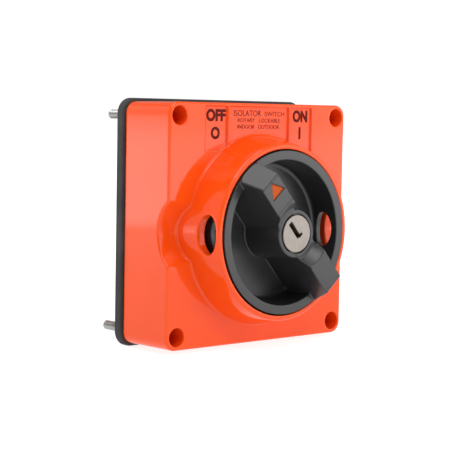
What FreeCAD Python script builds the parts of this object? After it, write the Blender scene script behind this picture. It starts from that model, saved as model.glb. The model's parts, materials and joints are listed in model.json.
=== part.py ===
import FreeCAD, Part

import math
import os
import re

import Sketcher

# A key-lockable rotary isolator on a square industrial front cover.
#
# Frame: +Z up, +X to the right and -Y to the front, with the origin at the centre of the rear mounting
# face. Every "depth" below is a distance in front of that face, so a depth d lies at y = -d.
# The switch axis runs along Y through x = 0, z = axis_height.

doc = FreeCAD.newDocument("rotary_isolator")
sheet = doc.addObject("Spreadsheet::Sheet", "Sizes")

SIZES = {
    # cover and seal
    "cover_half": 50.5,
    "cover_corner": 5.0,
    "cover_edge": 1.0,
    "cover_wall": 3.0,
    "gasket_half": 51.9,
    "gasket_corner": 6.5,
    "gasket_front": 3.5,
    "gasket_hole_radius": 3.9,
    "face_depth": 32.4,
    "inner_depth": 29.4,
    "axis_height": -2.9,
    "screw_pitch_half": 45.0,
    "post_zone": 38.8,
    "screw_well_radius": 3.9,
    "screw_well_floor": 10.0,
    "screw_hole_radius": 2.3,
    "screw_radius": 1.95,
    "screw_neck_radius": 1.55,
    "screw_thread_front": 1.0,
    "screw_head_radius": 3.4,
    "screw_head_height": 2.4,
    "screw_float": 2.0,
    "screw_tip_depth": -14.5,
    "washer_radius": 3.6,
    # collar, padlock holes and the hollows beside them
    "collar_foot_radius": 40.1,
    "collar_draft": 0.219,
    "foot_round": 0.8,
    "collar_front": 47.8,
    "collar_bore": 34.7,
    "padlock_depth": 41.5,
    "padlock_high": 8.1,
    "padlock_deep": 4.6,
    "knob_hole_high": 7.5,
    "knob_hole_deep": 4.3,
    "scoop_outer": 15.8,
    "scoop_inner": 14.5,
    "scoop_start": 38.0,
    # marks
    "pocket_sink": 0.8,
    "pocket_top": 49.1,
    "pocket_bottom": 30.0,
    "mark_sink": 0.4,
    # knob
    "knob_radius": 34.1,
    "knob_back": 33.0,
    "knob_front": 48.3,
    "rim_back": 46.2,
    "rim_wall_radius": 31.7,
    "dish_floor": 35.5,
    "dish_front_radius": 30.3,
    "dish_floor_radius": 29.0,
    "hub_foot_radius": 11.3,
    "hub_radius": 9.9,
    "hub_front": 54.5,
    "handle_angle": 131.0,
    "handle_front": 58.5,
    "handle_half": 5.25,
    "handle_foot_half": 6.95,
    "handle_reach": 29.0,
    "handle_end_slope": 0.5,
    "recess_inner": 10.85,
    "recess_outer": 14.6,
    "panel_sink": 0.35,
    "panel_ridge": 0.6,
    "sleeve_radius": 13.8,
    "sleeve_back": 18.0,
    "bore_radius": 9.0,
    "lip_depth": 52.4,
    "lip_radius": 8.35,
    "travel_angle": 82.0,
    # cover boss, bearing, seal and clip
    "boss_radius": 18.5,
    "boss_back": 21.0,
    "boss_bore": 14.0,
    "bearing_radius": 15.6,
    "bearing_bore": 13.86,
    "bearing_back": 27.6,
    "notch_reach": 17.3,
    "seal_depth": 29.8,
    "seal_section": 1.0,
    "seal_radius": 12.82,
    "groove_radius": 11.78,
    "clip_back": 19.3,
    "clip_front": 20.5,
    "clip_inner": 12.9,
    "clip_outer": 17.0,
    # lock
    "plug_front": 55.0,
    "plug_radius": 7.76,
    "plug_core_radius": 6.0,
    "plug_back": 40.0,
    "plug_shoulder": 51.6,
    "shell_radius": 8.92,
    "tail_radius": 2.2,
    "tail_disc_radius": 3.2,
    "crank_offset": 2.1,
    "crank_radius": 1.0,
    "bolt_back": 22.4,
    "bolt_front": 26.2,
    "bolt_half": 4.0,
    "bolt_reach": 13.2,
    "bolt_gap": 0.12,
    # drive
    "adaptor_back": 12.4,
    "adaptor_radius": 8.92,
    "socket_front": 20.0,
    "square_half": 3.5,
    "square_gap": 0.06,
    "spindle_back": -13.4,
    # mechanism
    "case_half_wide": 26.0,
    "case_half_high": 23.0,
    "latch_front": 12.0,
    "latch_plate": 1.2,
    "latch_back": 3.5,
    "pole_pitch": 9.0,
    "cap_back": -18.5,
    "pillar_wide": 20.5,
    "pillar_high": 19.2,
    "pillar_radius": 3.3,
    "case_screw_radius": 1.5,
    "case_screw_head": 2.8,
    "chamber_radius": 13.6,
    "rotor_radius": 9.4,
    "blade_radius": 12.8,
    "blade_half": 2.5,
    "blade_thick": 0.8,
    "contact_thick": 1.5,
    "contact_depth": -0.4,
    "cage_wide": 6.0,
    "cage_high": 6.6,
    "cage_offset": 19.5,
    "cage_height": 12.0,
    "wire_radius": 2.1,
    "terminal_screw_radius": 1.7,
}

for row, (alias, value) in enumerate(SIZES.items(), start=1):
    sheet.set("A%d" % row, alias)
    sheet.set("B%d" % row, str(value))
    sheet.setAlias("B%d" % row, alias)
doc.recompute()

TO_FRONT = FreeCAD.Rotation(FreeCAD.Vector(1, 0, 0), 90)
TO_RIGHT = FreeCAD.Rotation(FreeCAD.Vector(0, 1, 0), 90)
subparts = []


def size(alias):
    """Value of one driving dimension, for the shapes that are computed in code."""
    return float(SIZES[alias])


def bound(text):
    """Expression text in which every driving dimension is read from the sheet."""
    return re.sub(r"[a-z_]+", lambda m: "Sizes." + m.group() if m.group() in SIZES else m.group(), str(text))


def bind(item, **values):
    """Bind properties of one object to expressions over the sheet."""
    for name, text in values.items():
        item.setExpression(name, bound(text))
    return item


def place(item, x, y, z, rotation=None):
    """Bind the object's position, with a fixed rotation."""
    if rotation is not None:
        item.Placement = FreeCAD.Placement(FreeCAD.Vector(0, 0, 0), rotation)
    for letter, text in (("x", x), ("y", y), ("z", z)):
        item.setExpression("Placement.Base." + letter, bound(text))
    return item


def disc(name, radius, back, front, x="0", z="axis_height"):
    """Cylinder along the depth axis, from depth back to depth front."""
    item = doc.addObject("Part::Cylinder", name)
    bind(item, Radius=radius, Height="(%s) - (%s)" % (front, back))
    return place(item, x, "-(%s)" % back, z, TO_FRONT)


def cone(name, back_radius, front_radius, back, front):
    """Cone frustum on the switch axis."""
    item = doc.addObject("Part::Cone", name)
    bind(item, Radius1=back_radius, Radius2=front_radius, Height="(%s) - (%s)" % (front, back))
    return place(item, "0", "-(%s)" % back, "axis_height", TO_FRONT)


def block(name, x0, x1, back, front, z0, z1):
    """Box between two x, two depths and two z values."""
    item = doc.addObject("Part::Box", name)
    bind(item, Length="(%s) - (%s)" % (x1, x0))
    bind(item, Width="(%s) - (%s)" % (front, back))
    bind(item, Height="(%s) - (%s)" % (z1, z0))
    return place(item, x0, "-(%s)" % front, z0)


def centred(name, half_x, half_z, back, front, x="0", z="axis_height"):
    """Box given by its half sizes about a point, by default about the switch axis."""
    spans = ((x, half_x), (z, half_z))
    sides = [text % span for span in spans for text in ("(%s) - (%s)", "(%s) + (%s)")]
    return block(name, sides[0], sides[1], back, front, sides[2], sides[3])


def rod_x(name, radius, x0, x1, depth, z="axis_height"):
    """Cylinder parallel to X."""
    item = doc.addObject("Part::Cylinder", name)
    bind(item, Radius=radius, Height="(%s) - (%s)" % (x1, x0))
    return place(item, x0, "-(%s)" % depth, z, TO_RIGHT)


def oval_z(name, half_x, half_z, back, front, x, z):
    """Elliptical prism along the depth axis, taller than wide."""
    outline = doc.addObject("Part::Ellipse", name + "_outline")
    bind(outline, MajorRadius=half_z, MinorRadius=half_x)
    x_axis, y_axis, z_axis = (FreeCAD.Vector(*row) for row in ((1, 0, 0), (0, 1, 0), (0, 0, 1)))
    upright = FreeCAD.Rotation(z_axis, x_axis, y_axis, "XYZ")
    place(outline, x, "-(%s)" % back, z, upright)
    return extruded(name, outline, FreeCAD.Vector(0, -1, 0), "(%s) - (%s)" % (front, back))


def oval_x(name, half_depth, half_z, x0, x1, depth):
    """Elliptical prism parallel to X at the height of the switch axis."""
    outline = doc.addObject("Part::Ellipse", name + "_outline")
    bind(outline, MajorRadius=half_z, MinorRadius=half_depth)
    place(outline, x0, "-(%s)" % depth, "axis_height", FreeCAD.Rotation(FreeCAD.Vector(0, 1, 0), -90))
    return extruded(name, outline, FreeCAD.Vector(1, 0, 0), "(%s) - (%s)" % (x1, x0))


def extruded(name, outline, direction, length):
    """Solid prism of a closed outline."""
    item = doc.addObject("Part::Extrusion", name)
    item.Base = outline
    item.DirMode = "Custom"
    item.Dir = direction
    item.Solid = True
    return bind(item, LengthFwd=length)


def prism(name, points, back, front):
    """Prism along the depth axis over corner points given as (x, height above the switch axis)."""
    outline = doc.addObject("Part::Polygon", name + "_outline")
    outline.Nodes = [FreeCAD.Vector(x, 0, z) for x, z in points]
    outline.Close = True
    place(outline, "0", "-(%s)" % back, "axis_height")
    return extruded(name, outline, FreeCAD.Vector(0, -1, 0), "(%s) - (%s)" % (front, back))


def turned(name, items, angle):
    """Objects turned about the switch axis, clockwise as seen from the front, by a bound angle."""
    item = doc.addObject("Part::Compound", name)
    item.Links = items
    item.Placement = FreeCAD.Placement(FreeCAD.Vector(0, 0, 0), FreeCAD.Rotation(FreeCAD.Vector(0, 1, 0), 10))
    item.setExpression("Placement.Rotation.Angle", "(%s) * 1 deg" % bound(angle))
    item.setExpression("Placement.Base.x", bound("-sin(%s) * axis_height" % angle))
    item.setExpression("Placement.Base.z", bound("axis_height * (1 - cos(%s))" % angle))
    return item


def fuse(name, items):
    """Union of several objects."""
    item = doc.addObject("Part::MultiFuse", name)
    item.Shapes = items
    item.Refine = True
    return item


def cut(name, base, tools):
    """Base object with every tool removed from it."""
    item = doc.addObject("Part::Cut", name)
    item.Base = base
    item.Tool = tools[0] if len(tools) == 1 else fuse(name + "_tools", tools)
    item.Refine = True
    return item


def common(name, items):
    """Volume that all the objects share."""
    item = doc.addObject("Part::MultiCommon", name)
    item.Shapes = items
    item.Refine = True
    return item


def group(name, items):
    """Several separate solids kept as one sub-part."""
    item = doc.addObject("Part::Compound", name)
    item.Links = items
    return item


def ring(name, outer, inner, back, front, x="0", z="axis_height"):
    """Tube along the depth axis."""
    body = disc(name + "_outer", outer, back, front, x, z)
    hole = disc(name + "_inner", inner, "(%s) - 1" % back, "(%s) + 1" % front, x, z)
    return cut(name, body, [hole])


def rounded(name, base, radius, chosen, kind="Part::Fillet"):
    """Round or bevel the edges of base for which chosen(edge) is true."""
    doc.recompute()
    item = doc.addObject(kind, name)
    item.Base = base
    picked = [i for i, edge in enumerate(base.Shape.Edges, start=1) if chosen(edge)]
    item.Edges = [(i, radius, radius) for i in picked]
    doc.recompute()
    if not picked or item.Shape.isNull() or not item.Shape.isValid():
        raise RuntimeError("rounding failed on " + name)
    return item


def at_depth(depth):
    """Edge test: the whole edge lies at one depth."""
    return lambda edge: abs(edge.BoundBox.YMin + depth) < 0.01 and abs(edge.BoundBox.YMax + depth) < 0.01


def along_depth(edge):
    """Edge test: a straight edge that runs along the depth axis."""
    box = edge.BoundBox
    return box.XLength < 0.01 and box.ZLength < 0.01


def subpart(item, label):
    """Register an object as a finished sub-part under its own label."""
    item.Label = label
    subparts.append(item)
    return item


def plate(name, half_x, half_z, back, front, corner=None, z="0"):
    """PartDesign body: a rectangular plate along the depth axis, with rounded corners if asked."""
    body = doc.addObject("PartDesign::Body", name + "_body")
    sketch = body.newObject("Sketcher::SketchObject", name + "_sketch")
    plane = next(item for item in body.Origin.OriginFeatures if item.Role == "XZ_Plane")
    sketch.AttachmentSupport = [(plane, "")]
    sketch.MapMode = "FlatFace"
    corners = [FreeCAD.Vector(u, v, 0) for u, v in ((-9, -9), (9, -9), (9, 9), (-9, 9))]
    for i in range(4):
        sketch.addGeometry(Part.LineSegment(corners[i], corners[(i + 1) % 4]), False)
    for i in range(4):
        sketch.addConstraint(Sketcher.Constraint("Coincident", i, 2, (i + 1) % 4, 1))
    for i, kind in enumerate(("Horizontal", "Vertical", "Horizontal", "Vertical")):
        sketch.addConstraint(Sketcher.Constraint(kind, i))
    sketch.addConstraint(Sketcher.Constraint("Symmetric", 0, 1, 2, 1, -1, 1))
    wide = sketch.addConstraint(Sketcher.Constraint("DistanceX", 0, 1, 0, 2, 18.0))
    high = sketch.addConstraint(Sketcher.Constraint("DistanceY", 1, 1, 1, 2, 18.0))
    sketch.setExpression("Constraints[%d]" % wide, bound("2 * (%s)" % half_x))
    sketch.setExpression("Constraints[%d]" % high, bound("2 * (%s)" % half_z))
    pad = body.newObject("PartDesign::Pad", name + "_pad")
    pad.Profile = sketch
    bind(pad, Length="(%s) - (%s)" % (front, back))
    place(body, "0", "-(%s)" % back, z)
    doc.recompute()
    if corner:
        fillet = body.newObject("PartDesign::Fillet", name + "_corners")
        upright = ["Edge%d" % i for i, edge in enumerate(pad.Shape.Edges, start=1) if along_depth(edge)]
        fillet.Base = (pad, upright)
        bind(fillet, Radius=corner)
        doc.recompute()
    return body


# ---------------------------------------------------------------------------- cover, seal and screws

CORNERS = [(-1, -1), (1, -1), (1, 1), (-1, 1)]


def signed(sign, text):
    """The text with a plus or minus sign in front."""
    return "%d * (%s)" % (sign, text)


def at_corners(name, radius, back, front, half_x="screw_pitch_half", half_z="screw_pitch_half", z="0"):
    """Four equal cylinders along the depth axis, one at each corner of a rectangle."""
    return [
        disc("%s_%d" % (name, i), radius, back, front,
             signed(sx, half_x), "%s + %s" % (z, signed(sz, half_z)))
        for i, (sx, sz) in enumerate(CORNERS)
    ]


def scoop(name, side, outer, inner):
    """Hollow beside the collar: a shallow cone about the axis of the padlock hole."""
    item = doc.addObject("Part::Cone", name)
    bind(item, Radius1=inner, Radius2=outer, Height="cover_half + 0.2 - scoop_start")
    facing = FreeCAD.Rotation(FreeCAD.Vector(0, 1, 0), 90 * side)
    return place(item, signed(side, "scoop_start"), "-padlock_depth", "axis_height", facing)


def lock_notches(name):
    """Slots in the boss that the lock's bolt enters, at OFF and at ON."""
    slot = ("-bolt_half - 0.3", "bolt_half + 0.3", "bolt_back - 0.4", "bolt_front + 0.4")
    ends = ("axis_height - notch_reach", "axis_height - 10")
    at_off = block(name + "_off", *slot, *ends)
    at_on = turned(name + "_at_on", [block(name + "_on", *slot, *ends)], "travel_angle")
    return [at_off, at_on]


def mark_shapes(name, back, front):
    """Letters OFF with its ring, and ON with its bar, as prisms between two depths."""

    def bar(title, x0, x1, z0, z1):
        return block(name + title, str(x0), str(x1), back, front, str(z0), str(z1))

    def loop(title, x, z, half_x, half_z, stroke):
        outer = oval_z(name + title + "_out", str(half_x), str(half_z), back, front, str(x), str(z))
        span = ("(%s) - 1" % back, "(%s) + 1" % front)
        inner_halves = (str(half_x - stroke), str(half_z - stroke))
        inner = oval_z(name + title + "_in", *inner_halves, *span, str(x), str(z))
        return cut(name + title, outer, [inner])

    low, high, stroke = 42.75, 47.85, 0.75
    middle = (low + high) / 2
    off = [loop("_o", -28.75, middle, 1.65, (high - low) / 2, stroke)]
    for i, left in enumerate((-26.35, -22.7)):
        strokes = [
            bar("_f_stem%d" % i, left, left + stroke, low, high),
            bar("_f_top%d" % i, left, left + 2.9, high - stroke, high),
            bar("_f_arm%d" % i, left, left + 2.5, middle - 0.2, middle - 0.2 + stroke),
        ]
        off.append(fuse(name + "_f%d" % i, strokes))
    off.append(loop("_zero", -25.3, 38.0, 2.6, 2.6, 0.8))
    left, right = 24.35, 27.95
    rise = size("axis_height")
    slope = [
        (left, high - rise),
        (left + 0.95, high - rise),
        (right, low - rise),
        (right - 0.95, low - rise),
    ]
    strokes = [
        bar("_n_left", left, left + stroke, low, high),
        prism(name + "_n_slope", slope, back, front),
        bar("_n_right", right - stroke, right, low, high),
    ]
    on = [loop("_on_o", 21.1, middle, 2.0, (high - low) / 2, stroke)]
    on.append(fuse(name + "_n", strokes))
    on.append(bar("_one", 22.95, 23.8, 35.6, 40.8))
    return off, on


def make_cover():
    """Deep square cover with its round collar: one moulding, kept as four sub-parts that meet on planes."""
    blank = centred("cover_blank", "cover_half", "cover_half", "gasket_front", "face_depth", z="0")
    rounded_box = rounded("cover_corners", blank, size("cover_corner"), along_depth)
    shell = rounded("cover_shell", rounded_box, size("cover_edge"), at_depth(size("face_depth")))
    pockets = [
        block("pocket_%d" % i, str(x0), str(x1), "face_depth - pocket_sink", "face_depth + 1",
              "pocket_bottom", "pocket_top")
        for i, (x0, x1) in enumerate(((-31.3, -19.0), (-18.4, 16.1), (16.8, 29.8)))
    ]
    hollows = [scoop("scoop_%d" % side, side, "scoop_outer", "scoop_inner") for side in (-1, 1)]
    dished = cut("cover_dished", fuse("cover_footed", [shell, collar_foot()]), hollows)
    root = "24"
    spread = "collar_foot_radius + collar_draft * (face_depth - (%s))"
    collar = cone("collar", spread % root, spread % "collar_front", root, "collar_front")
    rim = rounded("collar_rim", collar, 0.8, at_depth(size("collar_front")))
    solid = fuse("cover_solid", [dished, rim])
    foot_zone = disc("foot_zone", "collar_foot_radius + foot_round", "face_depth - 2", "face_depth + 2")
    inside = "cover_half - cover_wall"
    cavity = centred("cavity_box", inside, inside, "0", "inner_depth", z="0")
    kept = at_corners("post", "6", "-1", "inner_depth + 1")
    spots = ("pillar_wide", "pillar_high", "axis_height")
    kept += at_corners("pillar", "pillar_radius", "latch_front", "30", *spots)
    kept.append(disc("boss", "boss_radius", "boss_back", "30"))
    kept += [rod_x("guard_%d" % i, "scoop_outer + 2.6", x0, x1, "padlock_depth")
             for i, (x0, x1) in enumerate((("-49", "-scoop_start"), ("scoop_start", "49")))]
    oval = ("padlock_deep", "padlock_high")
    tools = [
        cut("cavity", cavity, kept),
        disc("collar_hole", "collar_bore", "face_depth", "collar_front + 1"),
        disc("bearing_seat", "bearing_radius", "bearing_back", "face_depth + 1"),
        disc("boss_hole", "boss_bore", "boss_back - 1", "bearing_back + 1"),
        oval_x("padlock_left", *oval, "-collar_foot_radius - 2", "-30", "padlock_depth"),
        oval_x("padlock_right", *oval, "30", "collar_foot_radius + 2", "padlock_depth"),
        cut("pockets", fuse("pocket_boxes", pockets), [foot_zone]),
    ]
    tools += at_corners("well", "screw_well_radius", "screw_well_floor", "face_depth + 1")
    tools += at_corners("screw_hole", "screw_hole_radius", "0", "screw_well_floor + 1")
    tools += at_corners("washer_seat", "washer_radius + 0.1", "0", "gasket_front + 1.8")
    tools += at_corners("pilot", "case_screw_radius + 0.05", "0", "21.5", *spots)
    tools += lock_notches("notch")
    off, on = mark_shapes("cut_mark", "face_depth - pocket_sink - mark_sink", "face_depth")
    whole = cut("cover", solid, tools + off + on)
    ahead = block("ahead_of_face", "-60", "60", "face_depth", "60", "-60", "60")
    rims = [
        centred("wall_zone_x", "60", "post_zone", "-1", "inner_depth", z="0"),
        centred("wall_zone_z", "post_zone", "60", "-1", "inner_depth", z="0"),
    ]
    middle = centred("middle_zone", inside, inside, "-2", "face_depth", z="0")
    post_zone = cut("corner_zone", centred("outer_zone", "60", "60", "-1", "face_depth", z="0"), [
        centred("not_corner_x", "60", "post_zone", "-2", "60", z="0"),
        centred("not_corner_z", "post_zone", "60", "-2", "60", z="0"),
    ])
    wall_zone = cut("wall_zone", fuse("wall_zones", rims), [middle])
    subpart(cut("cover_plate", whole, [ahead, post_zone, wall_zone]), "front_cover")
    subpart(common("cover_ring", [whole, ahead]), "cover_collar")
    subpart(common("cover_posts", [whole, post_zone]), "corner_posts")
    subpart(common("cover_sides", [whole, wall_zone]), "cover_walls")


def collar_foot():
    """Ring with a concave edge that eases the collar's cone into the face."""
    slant = "sqrt(1 + collar_draft * collar_draft)"
    middle = "collar_foot_radius + foot_round * (%s - collar_draft)" % slant
    top = "face_depth + foot_round * (1 - collar_draft / %s)" % slant
    ring_blank = disc("foot_ring", middle, "face_depth - 1", top)
    tube = doc.addObject("Part::Torus", "foot_tube")
    bind(tube, Radius1=middle, Radius2="foot_round")
    flat = FreeCAD.Rotation(FreeCAD.Vector(1, 0, 0), 90)
    place(tube, "0", "-face_depth - foot_round", "axis_height", flat)
    return cut("foot", ring_blank, [tube])


def make_gasket():
    """Flat rubber frame with an opening for the mechanism."""
    frame = plate("gasket", "gasket_half", "gasket_half", "0", "gasket_front", "gasket_corner")
    span = ("-1", "gasket_front + 1")
    tools = [
        centred("gasket_wide", "cover_half - 4", "39", *span, z="0"),
        centred("gasket_high", "39", "cover_half - 4", *span, z="0"),
    ]
    tools += at_corners("gasket_hole", "gasket_hole_radius", *span)
    return subpart(cut("gasket_frame", frame, tools), "cover_gasket")


def make_cover_screws():
    """Captive M4 screws with a cross recess; the upper two float a little further forward."""
    screws = []
    washers = []
    for i, (sx, sz) in enumerate(CORNERS):
        lift = "screw_float" if sz > 0 else "0"
        x, z = signed(sx, "screw_pitch_half"), signed(sz, "screw_pitch_half")
        seat = "screw_well_floor + %s" % lift
        thread_front = "screw_thread_front + %s" % lift
        thread = disc("thread_%d" % i, "screw_radius", "screw_tip_depth + %s" % lift, thread_front, x, z)
        neck = disc("neck_%d" % i, "screw_neck_radius", thread_front + " - 1", seat, x, z)
        head = disc("head_%d" % i, "screw_head_radius", seat, seat + " + screw_head_height", x, z)
        recess = (seat + " + 1", seat + " + screw_head_height + 1")
        cross = [
            centred("cross_a%d" % i, "2.1", "0.45", *recess, x=x, z=z),
            centred("cross_b%d" % i, "0.45", "2.1", *recess, x=x, z=z),
        ]
        screws.append(cut("screw_%d" % i, fuse("screw_blank_%d" % i, [thread, neck, head]), cross))
        back, front = "gasket_front + 0.3", "gasket_front + 1.7"
        washers.append(ring("washer_%d" % i, "washer_radius", "screw_neck_radius + 0.05", back, front, x, z))
    subpart(group("screws", screws), "cover_screws")
    subpart(group("washers", washers), "screw_washers")


def make_marks():
    """Dark filled marks, a little below the floor of their pockets."""
    back = "face_depth - pocket_sink - mark_sink"
    off, on = mark_shapes("mark", back, "face_depth - pocket_sink - 0.1")
    subpart(group("off_marks", off), "off_legend")
    subpart(group("on_marks", on), "on_legend")


# ------------------------------------------------------------------------------------- knob and seal

def handle_bar():
    """Tapered bar across the dish, built along X and turned into place later."""
    wedge = doc.addObject("Part::Wedge", "handle_wedge")
    drop = "handle_end_slope * (handle_front - dish_floor + 0.5)"
    bind(wedge, Ymin="-handle_front", Ymax="-dish_floor + 0.5")
    bind(wedge, Xmin="-handle_reach", Xmax="handle_reach", Zmin="-handle_half", Zmax="handle_half")
    bind(wedge, X2min="-handle_reach - %s" % drop, X2max="handle_reach + %s" % drop)
    bind(wedge, Z2min="-handle_foot_half", Z2max="handle_foot_half")
    place(wedge, "0", "0", "axis_height")
    limit = disc("handle_limit", "knob_radius", "knob_back", "handle_front + 1")
    bar = common("handle_bar", [wedge, limit])
    key_room = cone("key_room", "recess_inner", "recess_outer + 0.94", "hub_front", "handle_front + 1")
    panel_span = ("handle_front - panel_sink", "handle_front + 1")
    panel = centred("panel", "handle_reach - panel_ridge", "10", *panel_span)
    panel_limit = disc("panel_limit", "recess_outer + panel_ridge", "handle_front - 1", "handle_front + 2")
    return cut("handle", bar, [key_room, cut("panels", panel, [panel_limit]), pointer_prism("pocket", 1.0)])


def pointer_prism(name, deep):
    """Triangle that points towards ON, from just above the handle's panel down to a given depth."""
    points = [(27.6, -0.3), (21.2, 3.6), (21.5, -4.7)]
    back = "handle_front - panel_sink - %s" % deep
    front = "handle_front + 1" if name == "pocket" else "handle_front - panel_sink - 0.45"
    return prism("pointer_" + name, points, back, front)


def make_knob():
    """Dished knob, one moulding kept as its dish with the sleeve and its handle bar with the lock's hub."""
    pan = disc("pan", "knob_radius", "knob_back", "knob_front")
    bowl = cone("bowl", "dish_floor_radius", "dish_front_radius", "dish_floor", "knob_front + 0.01")
    soft_bowl = rounded("soft_bowl", bowl, 1.8, at_depth(size("dish_floor")))
    dish = rounded("dish", cut("dish_blank", pan, [soft_bowl]), 0.4, at_depth(size("knob_front")))
    hub = cone("hub", "hub_foot_radius", "hub_radius", "dish_floor - 0.5", "hub_front")
    soft_hub = rounded("soft_hub", hub, 0.3, at_depth(size("hub_front")))
    bar = turned("handle_at_off", [handle_bar()], "-handle_angle")
    sleeve = disc("sleeve", "sleeve_radius", "sleeve_back", "knob_back + 0.5")
    cores = [
        block("core_%d" % i, x0, x1, "knob_back - 1", "handle_front - 3.6",
              "axis_height - 3.3", "axis_height + 3.3")
        for i, (x0, x1) in enumerate((("-27.5", "-15.5"), ("15.5", "27.5")))
    ]
    tools = [
        turned("cores", cores, "-handle_angle"),
        disc("lock_bore", "bore_radius", "sleeve_back - 1", "lip_depth"),
        disc("lip_hole", "lip_radius", "lip_depth - 1", "hub_front + 1"),
        oval_x("wall_hole_left", "knob_hole_deep", "knob_hole_high", "-36", "-28", "padlock_depth"),
        oval_x("wall_hole_right", "knob_hole_deep", "knob_hole_high", "28", "36", "padlock_depth"),
        ring("seal_groove", "sleeve_radius + 1", "groove_radius", "seal_depth - 1.1", "seal_depth + 1.1"),
        ring("clip_groove", "sleeve_radius + 1", "clip_inner - 0.04",
             "clip_back - 0.05", "clip_front + 0.05"),
        bolt_channel("knob_channel", "axis_height - 15"),
        ring("rim_undercut", "knob_radius + 1", "rim_wall_radius", "knob_back - 1", "rim_back"),
    ]
    tools += pin_shapes("knob_pin_hole", 0.03)
    holes = fuse("knob_holes", tools)
    base = fuse("knob_base", [dish, sleeve])
    subpart(cut("knob_body", base, [holes]), "knob")
    grip = fuse("grip_solid", [soft_hub, bar])
    subpart(cut("grip", grip, [fuse("grip_tools", [base, holes])]), "knob_handle")


def bolt_channel(name, low):
    """Radial slot for the lock's bolt, open downwards."""
    half = "bolt_half + 0.1"
    back, front = "bolt_back - 0.1", "bolt_front + 0.1"
    return block(name, "-(%s)" % half, half, back, front, low, "axis_height + 4.6")


def pin_shapes(name, gap):
    """The two cross pins of the adaptor, or their holes when a gap is given."""
    radius = "1.2 + %s" % gap
    return [
        rod_x(name + "_left", radius, "-13.6 - %s" % gap, "-5 + %s" % gap, "24.3"),
        rod_x(name + "_right", radius, "5 - %s" % gap, "13.6 + %s" % gap, "24.3"),
    ]


def make_knob_fittings():
    """Pointer, seal, clip, bearing, adaptor with its pins, and the square spindle."""
    pointer = turned("pointer_at_off", [pointer_prism("shape", 1.0)], "-handle_angle")
    subpart(pointer, "pointer_inlay")
    seal = doc.addObject("Part::Torus", "seal")
    bind(seal, Radius1="seal_radius", Radius2="seal_section")
    subpart(place(seal, "0", "-seal_depth", "axis_height", TO_FRONT), "knob_seal")
    clip = ring("clip_ring", "clip_outer", "clip_inner", "clip_back", "clip_front")
    gap = block("clip_gap", "-3.5", "3.5", "clip_back - 1", "clip_front + 1",
                "axis_height", "axis_height + 20")
    subpart(cut("clip", clip, [gap]), "retaining_ring")
    subpart(ring("bearing", "bearing_radius", "bearing_bore", "bearing_back", "face_depth"), "knob_bearing")
    blank = disc("adaptor_blank", "adaptor_radius", "adaptor_back", "plug_back - 0.1")
    socket = "square_half + square_gap"
    tools = [
        disc("tail_bore", "tail_disc_radius + 0.2", "bolt_front", "plug_back + 1"),
        centred("socket", socket, socket, "adaptor_back - 1", "socket_front"),
        bolt_channel("adaptor_channel", "axis_height - 15"),
        grub("grub_hole", "1.55", "axis_height + 3", "axis_height + 10"),
    ]
    tools += pin_shapes("adaptor_pin_hole", 0.03)
    subpart(cut("adaptor", blank, tools), "spindle_adaptor")
    subpart(group("pins", pin_shapes("pin", 0)), "adaptor_pins")
    subpart(grub("grub", "1.5", "axis_height + square_half + 0.1", "axis_height + 8.7"), "grub_screw")
    ends = ("spindle_back", "socket_front - 0.4")
    shaft = plate("spindle", "square_half", "square_half", *ends, z="axis_height")
    subpart(shaft, "spindle")


def grub(name, radius, low, high):
    """Radial screw, or its hole, above the spindle's square."""
    item = doc.addObject("Part::Cylinder", name)
    bind(item, Radius=radius, Height="(%s) - (%s)" % (high, low))
    return place(item, "0", "-(adaptor_back + 2.6)", low)


# ------------------------------------------------------------------------------------------- the lock

WAFER_DEPTHS = (42, 44, 46, 48, 50)


def key_way(name, x0, x1, half, back, front):
    """Slot for the key, along the handle and a little off centre."""
    return centred(name, "(%s) / 2" % (x1 - x0), half, back, front, x=str((x0 + x1) / 2))


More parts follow.
